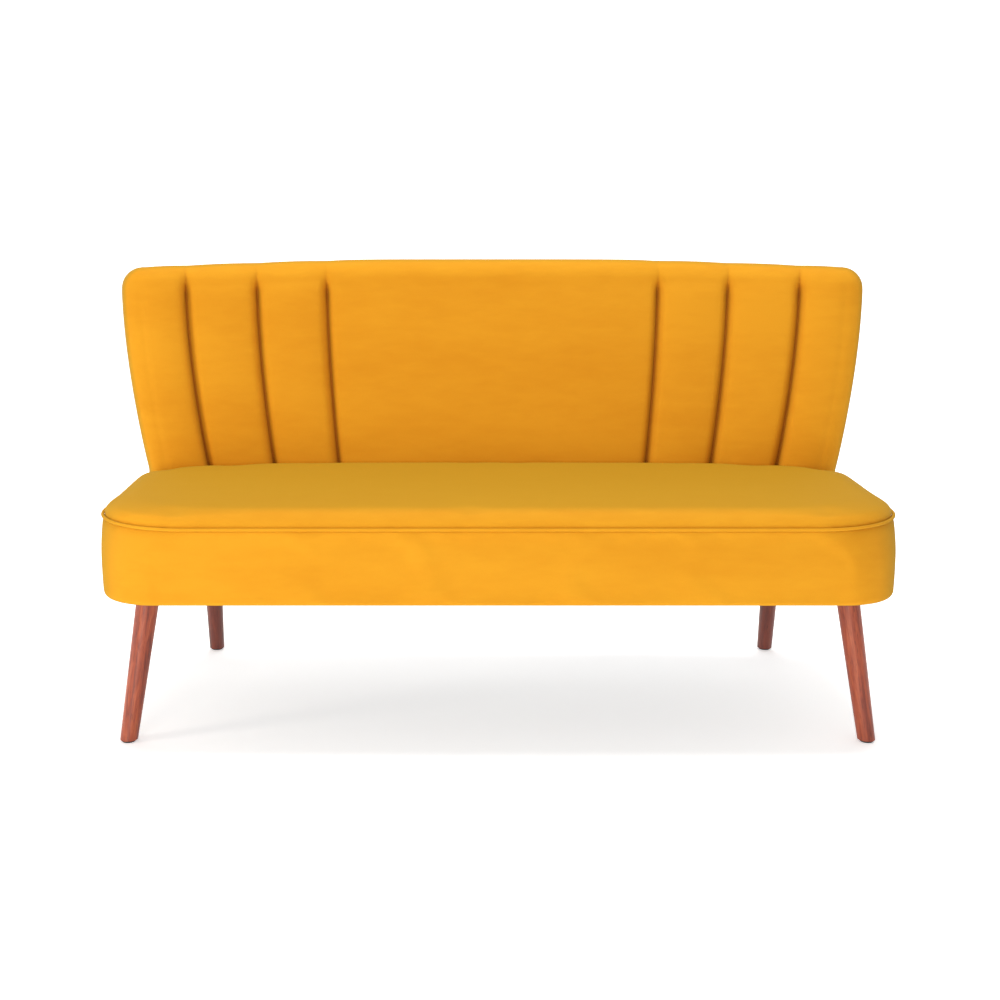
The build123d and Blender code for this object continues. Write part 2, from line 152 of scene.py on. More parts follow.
# Mesh tools
def meshObject(name, verts, faces, smooth=True, foldShading=None):
    mesh = bpy.data.meshes.new(name)
    mesh.from_pydata([tuple(v) for v in verts], [], faces)
    # painted shade: an optional per-point mask, stored for the velvet to darken pleats and seams
    if foldShading is not None:
        mesh.attributes.new("foldShade", "FLOAT", "POINT").data.foreach_set("value", foldShading)
    shape = bmesh.new()
    shape.from_mesh(mesh)
    bmesh.ops.remove_doubles(shape, verts=shape.verts, dist=0.02 * mm)
    bmesh.ops.dissolve_degenerate(shape, edges=shape.edges, dist=0.01 * mm)
    bmesh.ops.recalc_face_normals(shape, faces=shape.faces)
    for face in shape.faces:
        face.smooth = smooth
    shape.to_mesh(mesh)
    shape.free()
    piece = bpy.data.objects.new(name, mesh)
    scene.collection.objects.link(piece)
    return piece


def gridFaces(rows, cols, start=0, flip=False):
    faces = []
    for r in range(rows - 1):
        for c in range(cols - 1):
            a = start + r * cols + c
            quad = (a, a + 1, a + cols + 1, a + cols)
            faces.append(quad[::-1] if flip else quad)
    return faces


def closedSheet(name, outer, inner, foldShading=None):
    # Two grids of the same size joined round their rims
    rows, cols = outer.shape[:2]
    count = rows * cols
    faces = gridFaces(rows, cols) + gridFaces(rows, cols, count, True)
    ring = [r * cols for r in range(rows)] + [(rows - 1) * cols + c for c in range(1, cols)]
    ring += [r * cols + cols - 1 for r in range(rows - 2, -1, -1)] + list(range(cols - 2, 0, -1))
    for a, b in zip(ring, ring[1:] + ring[:1]):
        faces.append((a, b, b + count, a + count))
    verts = np.concatenate([outer.reshape(-1, 3), inner.reshape(-1, 3)])
    if foldShading is not None:
        foldShading = np.tile(foldShading.ravel(), 2)
    return meshObject(name, verts, faces, foldShading=foldShading)


def applyModifiers(piece):
    graph = bpy.context.evaluated_depsgraph_get()
    mesh = bpy.data.meshes.new_from_object(piece.evaluated_get(graph))
    piece.modifiers.clear()
    old = piece.data
    piece.data = mesh
    bpy.data.meshes.remove(old)
    return piece


def subdivide(piece, levels=1):
    modifier = piece.modifiers.new("Subdivision", "SUBSURF")
    modifier.levels = levels
    modifier.render_levels = levels
    return applyModifiers(piece)


def coordsOf(mesh):
    coords = np.empty(len(mesh.vertices) * 3)
    mesh.vertices.foreach_get("co", coords)
    return coords.reshape(-1, 3)


velvetCloth = {"quality": 6, "mass": 0.25, "shear": 8, "bending": 6}


def inflate(piece, held, settings):
    # Cloth pressed out from inside, held where it is sewn or tucked, then kept as plain mesh
    group = piece.vertex_groups.new(name="held")
    for index, weight in enumerate(held):
        if weight > 0:
            group.add([index], float(weight), "REPLACE")
    cloth = piece.modifiers.new("Cloth", "CLOTH")
    cloth.settings.quality = settings["quality"]
    cloth.settings.mass = settings["mass"]
    cloth.settings.tension_stiffness = settings["tension"]
    cloth.settings.compression_stiffness = settings["tension"]
    cloth.settings.shear_stiffness = settings["shear"]
    cloth.settings.bending_stiffness = settings["bending"]
    cloth.settings.use_pressure = True
    cloth.settings.uniform_pressure_force = settings["pressure"]
    cloth.settings.shrink_min = settings["shrink"]
    cloth.settings.vertex_group_mass = "held"
    cloth.settings.effector_weights.gravity = 0
    cloth.collision_settings.use_collision = False
    cloth.point_cache.frame_start = 1
    cloth.point_cache.frame_end = settings["frames"]
    for step in range(1, settings["frames"] + 1):
        scene.frame_set(step)
    graph = bpy.context.evaluated_depsgraph_get()
    before = coordsOf(piece.data)
    moved = coordsOf(piece.evaluated_get(graph).to_mesh()) - before
    far = np.linalg.norm(moved, axis=1, keepdims=True)
    moved *= np.minimum(1, settings["cap"] / np.maximum(far, 1e-9))
    piece.data.vertices.foreach_set("co", (before + moved).ravel())
    piece.modifiers.clear()
    piece.vertex_groups.clear()
    scene.frame_set(1)
    print("inflated", piece.name, "by up to", round(float(far.max()) * 1000, 1), "mm")


def relax(mesh, rounds, share, skip=None):
    # Evens out a mesh by moving each point towards the mean of its neighbours
    edges = np.empty(len(mesh.edges) * 2, dtype=int)
    mesh.edges.foreach_get("vertices", edges)
    edges = edges.reshape(-1, 2)
    coords = coordsOf(mesh)
    count = np.bincount(edges.ravel(), minlength=len(coords))[:, None]
    for _ in range(rounds):
        total = np.zeros_like(coords)
        np.add.at(total, edges[:, 0], coords[edges[:, 1]])
        np.add.at(total, edges[:, 1], coords[edges[:, 0]])
        step = share * (total / np.maximum(count, 1) - coords)
        if skip is not None:
            step[skip] = 0
        coords += step
    mesh.vertices.foreach_set("co", coords.ravel())
    mesh.update()


# Materials
def linear(code):
    parts = [int(code[i:i + 2], 16) / 255 for i in (1, 3, 5)]
    return tuple(p / 12.92 if p <= 0.04045 else ((p + 0.055) / 1.055) ** 2.4 for p in parts) + (1,)


def newMaterial(name):
    material = bpy.data.materials.new(name)
    material.use_nodes = True
    tree = material.node_tree
    tree.nodes.clear()
    return material, tree, addNode(tree, "ShaderNodeTexCoord").outputs["Object"]


def addNode(tree, kind, inputs=None, stops=(), **settings):
    node = tree.nodes.new(kind)
    for key, value in settings.items():
        setattr(node, key, value)
    for key, value in (inputs or {}).items():
        if isinstance(value, bpy.types.NodeSocket):
            tree.links.new(value, node.inputs[key])
        else:
            node.inputs[key].default_value = value
    for _ in stops[2:]:
        node.color_ramp.elements.new(0.5)
    for index, (place, color) in enumerate(stops):
        node.color_ramp.elements[index].position = place
        node.color_ramp.elements[index].color = color
    return node


velvetLook = {
    "front": "#d0901f",  # seen square on
    "patch": "#ca881b",  # pile brushed the other way
    "side": "#a97f15",  # painted shade where seen edge-on, standing in for light falling off toward rims and grazing faces
    "foldShade": "#9c541b",  # painted shade inside the pleats, where the valleys fall in shadow
    "sheen": "#ffdf8c",
    "patchSize": 0.16,
    "streakSize": 0.028,
    "pileSize": 0.0012,  # coarser than a real pile, so that it shows
    "roughness": 0.88,
}


def makeVelvet(name="mustard cotton velvet"):
    # Woven cotton with a cut pile: no gloss, faintly brushed, with painted shade where seen edge-on and in
    # the folds
    material, tree, place = newMaterial(name)
    lying = addNode(tree, "ShaderNodeMapping", {"Vector": place, "Scale": (0.45, 1, 1.6)})
    stretched = lying.outputs["Vector"]
    patches = addNode(tree, "ShaderNodeTexNoise", {
        "Vector": stretched, "Scale": 1 / velvetLook["patchSize"], "Detail": 3, "Roughness": 0.5})
    streaks = addNode(tree, "ShaderNodeTexNoise", {
        "Vector": stretched, "Scale": 1 / velvetLook["streakSize"], "Detail": 4, "Roughness": 0.6})
    both = addNode(tree, "ShaderNodeMath", {0: patches.outputs["Fac"], 1: 0.6}, operation="MULTIPLY")
    brushed = addNode(tree, "ShaderNodeMath", {0: streaks.outputs["Fac"], 1: 0.4, 2: both.outputs[0]},
                      operation="MULTIPLY_ADD")
    stops = [(0.36, linear(velvetLook["patch"])), (0.60, linear(velvetLook["front"]))]
    face = addNode(tree, "ShaderNodeValToRGB", {"Fac": brushed.outputs[0]}, stops).outputs["Color"]
    # painted shade: a darker, olive colour mixed in where the surface is seen edge-on
    edgeOn = addNode(tree, "ShaderNodeLayerWeight", {"Blend": 0.5}).outputs["Facing"]
    turned = addNode(tree, "ShaderNodeMapRange", {
        "Value": edgeOn, "From Min": 0.40, "From Max": 0.90, "To Min": 0.0, "To Max": 1.0})
    edgeShaded = addNode(tree, "ShaderNodeMixRGB", {
        "Fac": turned.outputs[0], "Color1": face, "Color2": linear(velvetLook["side"])})
    # painted shade: the mesh attribute marks the pleat valleys and the border's edge under the piping, and
    # darkens them
    foldShade = addNode(tree, "ShaderNodeAttribute", attribute_name="foldShade").outputs["Fac"]
    folded = addNode(tree, "ShaderNodeMixRGB", {
        "Fac": foldShade, "Color1": edgeShaded.outputs["Color"], "Color2": linear(velvetLook["foldShade"])})
    pile = addNode(tree, "ShaderNodeTexNoise", {
        "Vector": place, "Scale": 1 / velvetLook["pileSize"], "Detail": 2, "Roughness": 0.7})
    mottled = addNode(tree, "ShaderNodeMixRGB", {
        "Fac": 0.08, "Color1": folded.outputs["Color"], "Color2": pile.outputs["Color"]},
        blend_type="OVERLAY")
    bump = addNode(tree, "ShaderNodeBump", {
        "Height": pile.outputs["Fac"], "Strength": 0.25, "Distance": 0.0006})
    soft = addNode(tree, "ShaderNodeBump", {
        "Height": brushed.outputs[0], "Strength": 0.2, "Distance": 0.003, "Normal": bump.outputs["Normal"]})
    shader = addNode(tree, "ShaderNodeBsdfPrincipled", {
        "Base Color": mottled.outputs["Color"], "Roughness": velvetLook["roughness"],
        "Specular IOR Level": 0.08, "Sheen Weight": 0.05, "Sheen Roughness": 0.45,
        "Sheen Tint": linear(velvetLook["sheen"]), "Normal": soft.outputs["Normal"]})
    addNode(tree, "ShaderNodeOutputMaterial", {"Surface": shader.outputs["BSDF"]})
    return material


woodLook = {
    "dark": "#651d06",
    "mid": "#923a16",
    "pale": "#ab5127",
    "grainWidth": 0.0022,
    "grainLength": 0.09,
}
shadedRearWoodLook = dict(woodLook, dark="#400f02", mid="#621f07", pale="#762c10")  # painted shade: the same stain darkened, as the rear pair stands in the seat's shadow


def makeWood(name, along, look, gloss=0.5, coat=0.12):
    # Fine straight grain running along the piece, with short dark pores
    material, tree, place = newMaterial(name)
    turn = Vector(along).normalized().rotation_difference(Vector((0, 0, 1))).to_euler()
    turned = addNode(tree, "ShaderNodeMapping", {"Vector": place, "Rotation": turn}).outputs["Vector"]
    scale = (1 / look["grainWidth"] / 4, 1 / look["grainWidth"] / 4, 1 / look["grainLength"])
    fibres = addNode(tree, "ShaderNodeMapping", {"Vector": turned, "Scale": scale}).outputs["Vector"]
    grain = addNode(tree, "ShaderNodeTexNoise", {
        "Vector": fibres, "Scale": 1, "Detail": 5, "Roughness": 0.6, "Distortion": 0.8})
    poreScale = (1 / look["grainWidth"] * 1.6, 1 / look["grainWidth"] * 1.6, 1 / look["grainLength"] * 5)
    fine = addNode(tree, "ShaderNodeMapping", {"Vector": turned, "Scale": poreScale}).outputs["Vector"]
    pores = addNode(tree, "ShaderNodeTexNoise", {"Vector": fine, "Scale": 1, "Detail": 2, "Roughness": 0.5})
    stops = [(0.30, linear(look["dark"])), (0.50, linear(look["mid"])), (0.72, linear(look["pale"]))]
    color = addNode(tree, "ShaderNodeValToRGB", {"Fac": grain.outputs["Fac"]}, stops)
    poreStops = [(0.30, (0.45, 0.45, 0.45, 1)), (0.42, (1, 1, 1, 1))]
    poreMask = addNode(tree, "ShaderNodeValToRGB", {"Fac": pores.outputs["Fac"]}, poreStops)
    mixed = addNode(tree, "ShaderNodeMixRGB", {
        "Fac": 0.8, "Color1": color.outputs["Color"], "Color2": poreMask.outputs["Color"]},
        blend_type="MULTIPLY")
    bump = addNode(tree, "ShaderNodeBump", {
        "Height": pores.outputs["Fac"], "Strength": 0.2, "Distance": 0.0003})
    shader = addNode(tree, "ShaderNodeBsdfPrincipled", {
        "Base Color": mixed.outputs["Color"], "Roughness": gloss, "Coat Weight": coat,
        "Coat Roughness": 0.3, "Normal": bump.outputs["Normal"]})
    addNode(tree, "ShaderNodeOutputMaterial", {"Surface": shader.outputs["BSDF"]})
    return material


def makeMottled(name, tones, cloud, grain, bump, finish):
    material, tree, place = newMaterial(name)
    scale, detail, end = cloud
    clouds = addNode(tree, "ShaderNodeTexNoise", {"Vector": place, "Scale": scale, "Detail": detail})
    stops = [(0.35, linear(tones[0])), (end, linear(tones[1]))]
    color = addNode(tree, "ShaderNodeValToRGB", {"Fac": clouds.outputs["Fac"]}, stops)
    fine = addNode(tree, "ShaderNodeTexNoise", {"Vector": place, "Scale": grain, "Detail": 2})
    relief = addNode(tree, "ShaderNodeBump", {
        "Height": fine.outputs["Fac"], "Strength": bump[0], "Distance": bump[1]})
    shader = addNode(tree, "ShaderNodeBsdfPrincipled", {
        "Base Color": color.outputs["Color"], "Normal": relief.outputs["Normal"], **finish})
    addNode(tree, "ShaderNodeOutputMaterial", {"Surface": shader.outputs["BSDF"]})
    return material


def makeMetal(name, tint, roughness, wear):
    # Drawn or pressed steel: a dull reflection, clouded by handling
    finish = {"Metallic": 1.0, "Roughness": roughness}
    return makeMottled(name, (tint, wear), (60, 4, 0.7), 900, (0.12, 0.0002), finish)


def makeMatt(name, tint, other, grain, roughness=0.8, bumpDepth=0.0004):
    # Coatings, plastics, felt, foam and board: two close tones and a fine grain
    finish = {"Roughness": roughness}
    return makeMottled(name, (tint, other), (0.35 / grain, 5, 0.68), 1 / grain, (0.35, bumpDepth), finish)


velvet = makeVelvet()
nonWoven = makeMatt("black non-woven polypropylene", "#161616", "#242425", 0.0016, 0.9)
stapleSteel = makeMetal("galvanised staple wire", "#b9bcc0", 0.35, "#8f9296")
print("materials ready")


# The inside-back cover: one skin over seven channels, drawn in at six pleats
cushion = {
    "bottom": 0.372,  # tucked below the seat's surface
    "sideBottom": 0.2665,
    "rowStep": 0.0085,
    "columnStep": 0.011,
    "turnSteps": 9,
    "sideSteps": 8,
    "rollSteps": (8, 6, 6),  # up and over the top, across it, down to the rear seam
    "pleatLevel": 0.6,  # where the pleats' spacing is measured
    "pleatDepth": 0.021,
    "pleatWidth": 0.016,
    "pleatSharp": 1.7,
    "pleatTop": (0.752, 0.792),  # the pleats fade out between these levels
    "narrowCrown": 0.0085,
    "wideCrown": 0.006,
    "edgeSteps": (0.001, 0.0024, 0.0042, 0.0065, 0.0095, 0.0135, 0.019),
    # painted shade in the pleats: how far from each pleat it reaches and how strongly it darkens
    "foldShadeReach": 0.0036,
    "foldShadeStrength": 0.6,
    "inside": 0.036,
    "sideInside": 0.010,
    "cloth": dict(velvetCloth, tension=18, pressure=1.6, shrink=-0.012, frames=14, cap=0.006),
}


def roundingAt(level):
    low, high = back["roundingLevels"]
    return mix(back["rounding"], clamp((level - low) / (high - low)))


def anglesOf(level):
    radius = arcRadius(level, -back["padDepth"])
    return radius, back["wingAngle"] - roundingAt(level) / radius


def faceAt(level):
    # Half the flat panel, the wing's radius and the arc from the flat panel to the wing's rounding
    radius, last = anglesOf(level)
    return flatHalf(level), radius, radius * last


def alongFace(station, level):
    # How far along the front face a column stands, measured at one level
    flat, _, arc = faceAt(level)
    value = station[1]
    return flat * value if value <= 1 else flat + arc * (value - 1)


def frontStations():
    # From the middle to the start of a wing's rounding: 0 to 1 is flat, 1 to 2 curved
    flat, radius, arc = faceAt(cushion["pleatLevel"])
    pleats = [flat + angle * radius for angle in back["pleatAngles"]]
    places = [0.0]
    stops = pleats + [flat + arc]
    for index, stop in enumerate(stops):
        low = places[-1]
        pleatHere = index < len(pleats)
        high = stop - (cushion["edgeSteps"][-1] if pleatHere else 0)
        count = max(2, round((high - low) / cushion["columnStep"]))
        places += [low + (high - low) * k / count for k in range(1, count + 1)]
        if pleatHere:
            places += [stop - step for step in reversed(cushion["edgeSteps"][:-1])]
            places += [stop] + [stop + step for step in cushion["edgeSteps"]]
    return [p / flat if p <= flat else 1 + (p - flat) / arc for p in places]


def stationsOf():
    front = [("front", g) for g in frontStations()]
    turn = [("turn", k / cushion["turnSteps"]) for k in range(1, cushion["turnSteps"])]
    sideRun = [("side", k / cushion["sideSteps"]) for k in range(cushion["sideSteps"] + 1)]
    half = front + turn + sideRun
    left = [(kind, value, -1) for kind, value in reversed(half[1:])]
    return left + [(kind, value, 1) for kind, value in half]


def skinPoint(level, station, inset, rise=0.0):
    # A point of the outer skin in plan, where rise is how far it has turned over the top
    kind, value, side = station
    theta = back["wingAngle"]
    last = anglesOf(level)[1]
    outward = Vector((math.cos(theta), -math.sin(theta)))
    rearward = Vector((math.sin(theta), math.cos(theta)))
    corner = Vector(backPoint(level, theta, -back["padDepth"]))
    r = roundingAt(level)
    if kind == "front" and value <= 1:
        x, y = flatHalf(level) * value, boardY(level) - back["padDepth"] + inset
    elif kind == "front":
        x, y = backPoint(level, last * (value - 1), inset - back["padDepth"])
    elif kind == "turn":
        a = math.pi / 2 * (1 - value)
        centre = corner + rearward * r - outward * r
        x, y = centre + (r - inset) * (math.cos(a) * outward - math.sin(a) * rearward)
    else:
        full = back["padDepth"] + back["coverShift"] - back["coverGap"]
        depth = r + (full - r) * value
        pulled = min(depth, full - back["rearRadius"])
        depth += (pulled - depth) * rise
        x, y = corner + rearward * depth - outward * inset
    return Vector((side * x, y))


def ridgeAngle(level, station):
    # Where a column meets the rear edge of the top, as an angle round the wing
    kind, value, _ = station
    radius = arcRadius(level, back["coverShift"])
    theta = back["wingAngle"]
    first = theta - 0.085 / radius
    if kind == "front":
        return (value - 1) * first if value > 1 else None
    if kind == "turn":
        return first + value * 0.020 / radius
    return theta - (0.065 - 0.027 * value) / radius


def pleatNear(station):
    # Distance along the face to the nearest pleat
    if station[0] != "front":
        return 1.0
    flat, radius, _ = faceAt(cushion["pleatLevel"])
    place = alongFace(station, cushion["pleatLevel"])
    return min(abs(place - flat - angle * radius) for angle in back["pleatAngles"])


def pleatFade(level):
    low, high = cushion["pleatTop"]
    t = clamp((high - level) / (high - low))
    return t * t * (3 - 2 * t)


def pleatPush(level, station):
    # How far the skin stands out or dives in, in front of the plain curve
    if station[0] != "front":
        return 0.0
    flat, radius, arc = faceAt(cushion["pleatLevel"])
    place = alongFace(station, cushion["pleatLevel"])
    near = pleatNear(station)
    fade = pleatFade(level)
    push = 0.0
    if near < cushion["pleatWidth"]:
        t = 1 - near / cushion["pleatWidth"]
        push = -cushion["pleatDepth"] * fade * t ** cushion["pleatSharp"]
    if place <= flat:
        return push + cushion["wideCrown"] * (1 - (place / flat) ** 6)
    edges = [flat + angle * radius for angle in back["pleatAngles"]] + [flat + arc]
    for low, high in zip(edges, edges[1:]):
        if low <= place <= high:
            w = (place - low) / (high - low)
            rounded = 1 - (2 * w - 1) ** 2
            if high == edges[-1]:  # the end channel runs flatter into the wing's rounding
                rounded = min(1, 2 * w) * (2 - min(1, 2 * w)) * (1 - 0.6 * max(0, 2 * w - 1) ** 2)
            return push + cushion["narrowCrown"] * rounded * (0.35 + 0.65 * fade)
    return push


def droopOf(station):
    if station[0] != "front":
        return back["droop"]
    flat, _, arc = faceAt(back["droopLevel"])
    place = alongFace(station, back["droopLevel"])
    reach = (place - back["droopStart"]) / (flat + arc - back["droopStart"])
    return back["droop"] * max(0, reach) ** back["droopPower"]


def bottomOf(station):
    kind, value = station[:2]
    if kind == "front":
        return cushion["bottom"]
    stepDown = 0.3 if kind == "turn" else 0  # the skin steps down early in its turn round the wing
    if value < stepDown:
        return mix((cushion["bottom"], cushion["sideBottom"]), value / stepDown)
    return cushion["sideBottom"]


def backRows():
    # Each row: share of the height, turn over the top, run across the top, turn down the rear
    count = round((back["rollStart"] - cushion["bottom"]) / cushion["rowStep"])
    rows = [(k / count, 0, 0, 0) for k in range(count + 1)]
    over, across, down = cushion["rollSteps"]
    rows += [(1, k / over, 0, 0) for k in range(1, over + 1)]
    rows += [(1, 1, k / across, 0) for k in range(1, across + 1)]
    rows += [(1, 1, 1, k / down) for k in range(1, down + 1)]
    return rows


def backSkin(depth=0.0, pushed=True):
    # The whole skin as a grid, moved inward by depth for the inner face
    stations = stationsOf()
    rows = backRows()
    grid = np.zeros((len(rows), len(stations), 3))
    foldShading = np.zeros((len(rows), len(stations)))
    for j, station in enumerate(stations):
        kind, value, side = station
        roll = back["rollRadius"]
        deep = depth
        if kind == "side":
            roll, deep = back["endRollRadius"], min(depth, cushion["sideInside"])
        if kind == "turn":
            roll += (back["endRollRadius"] - roll) * value
            deep = mix((depth, min(depth, cushion["sideInside"])), value)
        droop = droopOf(station)
        bottom = bottomOf(station)
        rollStart = back["rollStart"] + back["rollRadius"] - roll - droop
        top = rollTop - back["coverGap"] - droop
        # painted shade: strongest on a pleat, none past its reach, fading out toward the top
        pleatShade = max(0, 1 - pleatNear(station) / cushion["foldShadeReach"])
        for i, (share, over, across, down) in enumerate(rows):
            a = over * math.pi / 2
            level = bottom + (rollStart - bottom) * share
            push = pleatPush(level + 0.03 * over, station) if pushed else 0
            foldShading[i, j] = cushion["foldShadeStrength"] * min(1, 1.3 * pleatShade) * pleatFade(level + 0.02 * over)
            fade = 1 - 0.55 * (1 - math.cos(a)) - 0.45 * across
            reach = roll * (1 - math.cos(a)) + (deep - push * fade) * math.cos(a)
            plan = skinPoint(level, station, reach, 1 - math.cos(a))
            height = level + (top - level) * math.sin(a)
            height += (push * fade - depth) * math.sin(a)
            if across > 0:
                angle = ridgeAngle(level, station)
                shift = back["coverShift"] - back["coverGap"] - back["rearRadius"]
                if angle is None:
                    x, y = flatHalf(level) * value, boardY(level) + shift
                else:
                    x, y = backPoint(level, angle, shift)
                ridge = Vector((side * x, y))
                plan = plan.lerp(ridge, across)
                if down > 0:
                    drop = min(1, down * 1.5) * math.pi / 2
                    radius = back["rearRadius"] - min(depth, 0.002)
                    turned = angle or 0
                    away = Vector((side * math.sin(turned), math.cos(turned)))
                    plan = ridge + away * radius * math.sin(drop)
                    height = top - depth * 0.2 - back["rearRadius"] * (1 - math.cos(drop))
                    height -= 0.024 * max(0, down * 1.5 - 1)
            grid[i, j] = (plan.x, plan.y, height)
    return grid, stations, foldShading


def settleSheet(outer, held, settings):
    # Runs the cloth on an open sheet and returns its new points
    mesh = bpy.data.meshes.new("sheet")
    mesh.from_pydata([tuple(v) for v in outer.reshape(-1, 3)], [], gridFaces(*outer.shape[:2]))
    piece = bpy.data.objects.new("sheet", mesh)
    scene.collection.objects.link(piece)
    if mesh.polygons[len(mesh.polygons) // 2].normal.y > 0:
        mesh.flip_normals()
    inflate(piece, held.ravel(), settings)
    settled = coordsOf(mesh).reshape(outer.shape)
    bpy.data.objects.remove(piece)
    return settled


def makeBackCushion():
    outer, stations, foldShading = backSkin()
    held = np.zeros(outer.shape[:2])
    for j, (kind, value, side) in enumerate(stations):
        if pleatNear((kind, value, side)) < 0.0005 or (kind == "side" and value > 0.9):
            held[:, j] = 1
    held[:4, :] = 1  # tucked behind the seat
    held[-8:, :] = 1  # stapled under the outside back
    outer = settleSheet(outer, held, cushion["cloth"])
    inner = backSkin(cushion["inside"], False)[0]
    piece = closedSheet("inside_back_cover", outer, inner, foldShading)
    subdivide(piece)
    piece.data.materials.append(velvet)
    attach(piece, "root")
    sides = ("left", "right")
    names = [f"back_channel_{side}_{place}" for side in sides for place in ("inner", "middle", "outer")]
    names += [f"wing_base_pad_{side}" for side in sides]
    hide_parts("back_channel_centre", "back_top_roll", *names)
    print("inside back cover", len(piece.data.polygons))


# The seat's plan outline, shared by the cushion, the border and the piping
seat = {
    "front": borderLow.y,
    "bottom": borderLow.z,
    "seam": 0.395,
    "crown": boxOf("seat_top_cover")[1].z,
    "halfWidth": (0.6775, 0.6885),  # at the underside and at the piping
    "corner": (0.105, 0.172),
    "flare": 0.008,  # the sides run outward a little toward the rear
    "sideEnd": (0.107, 0.070),  # y where the side starts to turn in against the wing, low and at the piping
    "rearCorner": (0.008, 0.045),
    "tuck": 0.050,  # how far the ends run in behind the wing
    "widen": 1.4,  # how late the outline widens toward the piping
    "frontSteps": 44,
    "cornerSteps": 22,
    "sideSteps": 26,
    "rearSteps": 9,
    "tuckSteps": 5,
}


def seatHalf(level, inset=0.0):
    # From the middle of the front, round the corner, along the side and in against the wing
    wide = clamp((level - seat["bottom"]) / (seat["seam"] - seat["bottom"])) ** seat["widen"]
    w = mix(seat["halfWidth"], wide)
    r = mix(seat["corner"], wide)
    y0 = seat["front"]
    low, high = back["roundingLevels"]
    late = clamp((level - low) / (high - low))
    sideEnd = mix(seat["sideEnd"], late)
    turn = mix(seat["rearCorner"], late)
    points = [Vector(((w - r) * k / seat["frontSteps"], y0)) for k in range(seat["frontSteps"])]
    for a in quarterTurn(seat["cornerSteps"], 0):
        points.append(Vector((w - r + r * math.sin(a), y0 + r - r * math.cos(a))))
    for k in range(1, seat["sideSteps"] + 1):
        u = k / seat["sideSteps"]
        y = y0 + r + (sideEnd - y0 - r) * u
        points.append(Vector((w + seat["flare"] * u * u * (3 - 2 * u), y)))
    end = points[-1]
    for a in quarterTurn(seat["rearSteps"]):
        points.append(Vector((end.x - turn + turn * math.cos(a), end.y + turn * math.sin(a))))
    for k in range(1, seat["tuckSteps"] + 1):
        points.append(Vector((end.x - turn - seat["tuck"] * k / seat["tuckSteps"], end.y + turn)))
    moved = []
    for k, point in enumerate(points):
        along = (points[min(len(points) - 1, k + 1)] - points[max(0, k - 1)]).normalized()
        away = Vector((along.y, -along.x)) if k else Vector((0, -1))
        moved.append(point - away * inset)
    return moved


def seatOutline(level, inset=0.0):
    half = seatHalf(level, inset)
    return [(-p.x, p.y) for p in reversed(half[1:])] + [(p.x, p.y) for p in half]


border = {
    "top": 0.3930,
    "bulge": 0.0018,
    "bottomRadius": 0.0075,
    "thickness": 0.0060,
    "edgeDrop": 0.0035,  # how far down the fold over the piping's flange reaches
    "rows": 15,
    "bottomSteps": 7,
    "cloth": dict(velvetCloth, tension=20, pressure=1.0, shrink=-0.004, frames=12, cap=0.0022),
}


def borderProfile():
    # Inset and level from the piping down to the underside
    top = border["top"]
    low = seat["bottom"] + 0.0003
    r = border["bottomRadius"]
    folded = top - border["edgeDrop"]
    points = [(0.0065, top + 0.0006), (0.0035, top + 0.0004), (0.0014, top - 0.0009), (0.0003, folded)]
    for k in range(1, border["rows"] + 1):
        t = k / border["rows"]
        points.append((-border["bulge"] * math.sin(math.pi * t), mix((folded, low + r), t)))
    for a in quarterTurn(border["bottomSteps"]):
        points.append((r * (1 - math.cos(a)), low + r * (1 - math.sin(a))))
    points.append((r + 0.012, low))
    return points


def makeBorder():
    profile = borderProfile()
    outer = np.array([[(x, y, level) for x, y in seatOutline(level, inset)] for inset, level in profile])
    inner = np.array([[(x, y, min(max(level, seat["bottom"] + 0.0015), border["top"] - 0.002))
                       for x, y in seatOutline(level, max(border["thickness"], inset))]
                      for inset, level in profile])
    foldShading = np.zeros(outer.shape[:2])
    # painted shade along the two top rows, just under the piping
    foldShading[:2] = 0.35
    held = np.zeros(outer.shape[:2])
    held[:4] = held[-8:] = 1  # sewn at the piping, stapled underneath
    held[:, :14] = held[:, -14:] = 1  # tucked behind the wings
    outer = settleSheet(outer, held, border["cloth"])
    piece = closedSheet("seat_border", outer, inner, foldShading)
    subdivide(piece)
    piece.data.materials.append(velvet)
    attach(piece, "root")
    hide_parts("seat_border_cover", "border_padding")
    print("border", len(piece.data.polygons))


seatPad = {
    "base": 0.3885,
    "shoulder": 0.416,
    "rounding": 0.025,
    "roundingEase": 0.004,  # the rounding stands this much less high than it reaches in
    "rearShift": -0.034,
    "roundingSteps": 8,
    "rearSteps": 60,
    "heldHeight": 0.012,
    "voxel": 0.006,
    "cloth": dict(velvetCloth, mass=0.3, bending=8, tension=16, pressure=1.2, shrink=-0.002, frames=14,
                  cap=0.005),
}


def seatLoop(inset):
    # The border's outline closed by a rear line that runs under the back's padding
    half = [(p.x, p.y) for p in seatHalf(seat["seam"], inset - 0.0006)][:-4]
    reach = half[-1][0]
    steps = seatPad["rearSteps"]
    across = [reach * (1 - k / steps) for k in range(1, 2 * steps)]
    rear = [(x, backY(seat["bottom"], x, seatPad["rearShift"]) - inset) for x in across]
    left = [(-x, y) for x, y in reversed(half[1:])]
    return half + rear + left


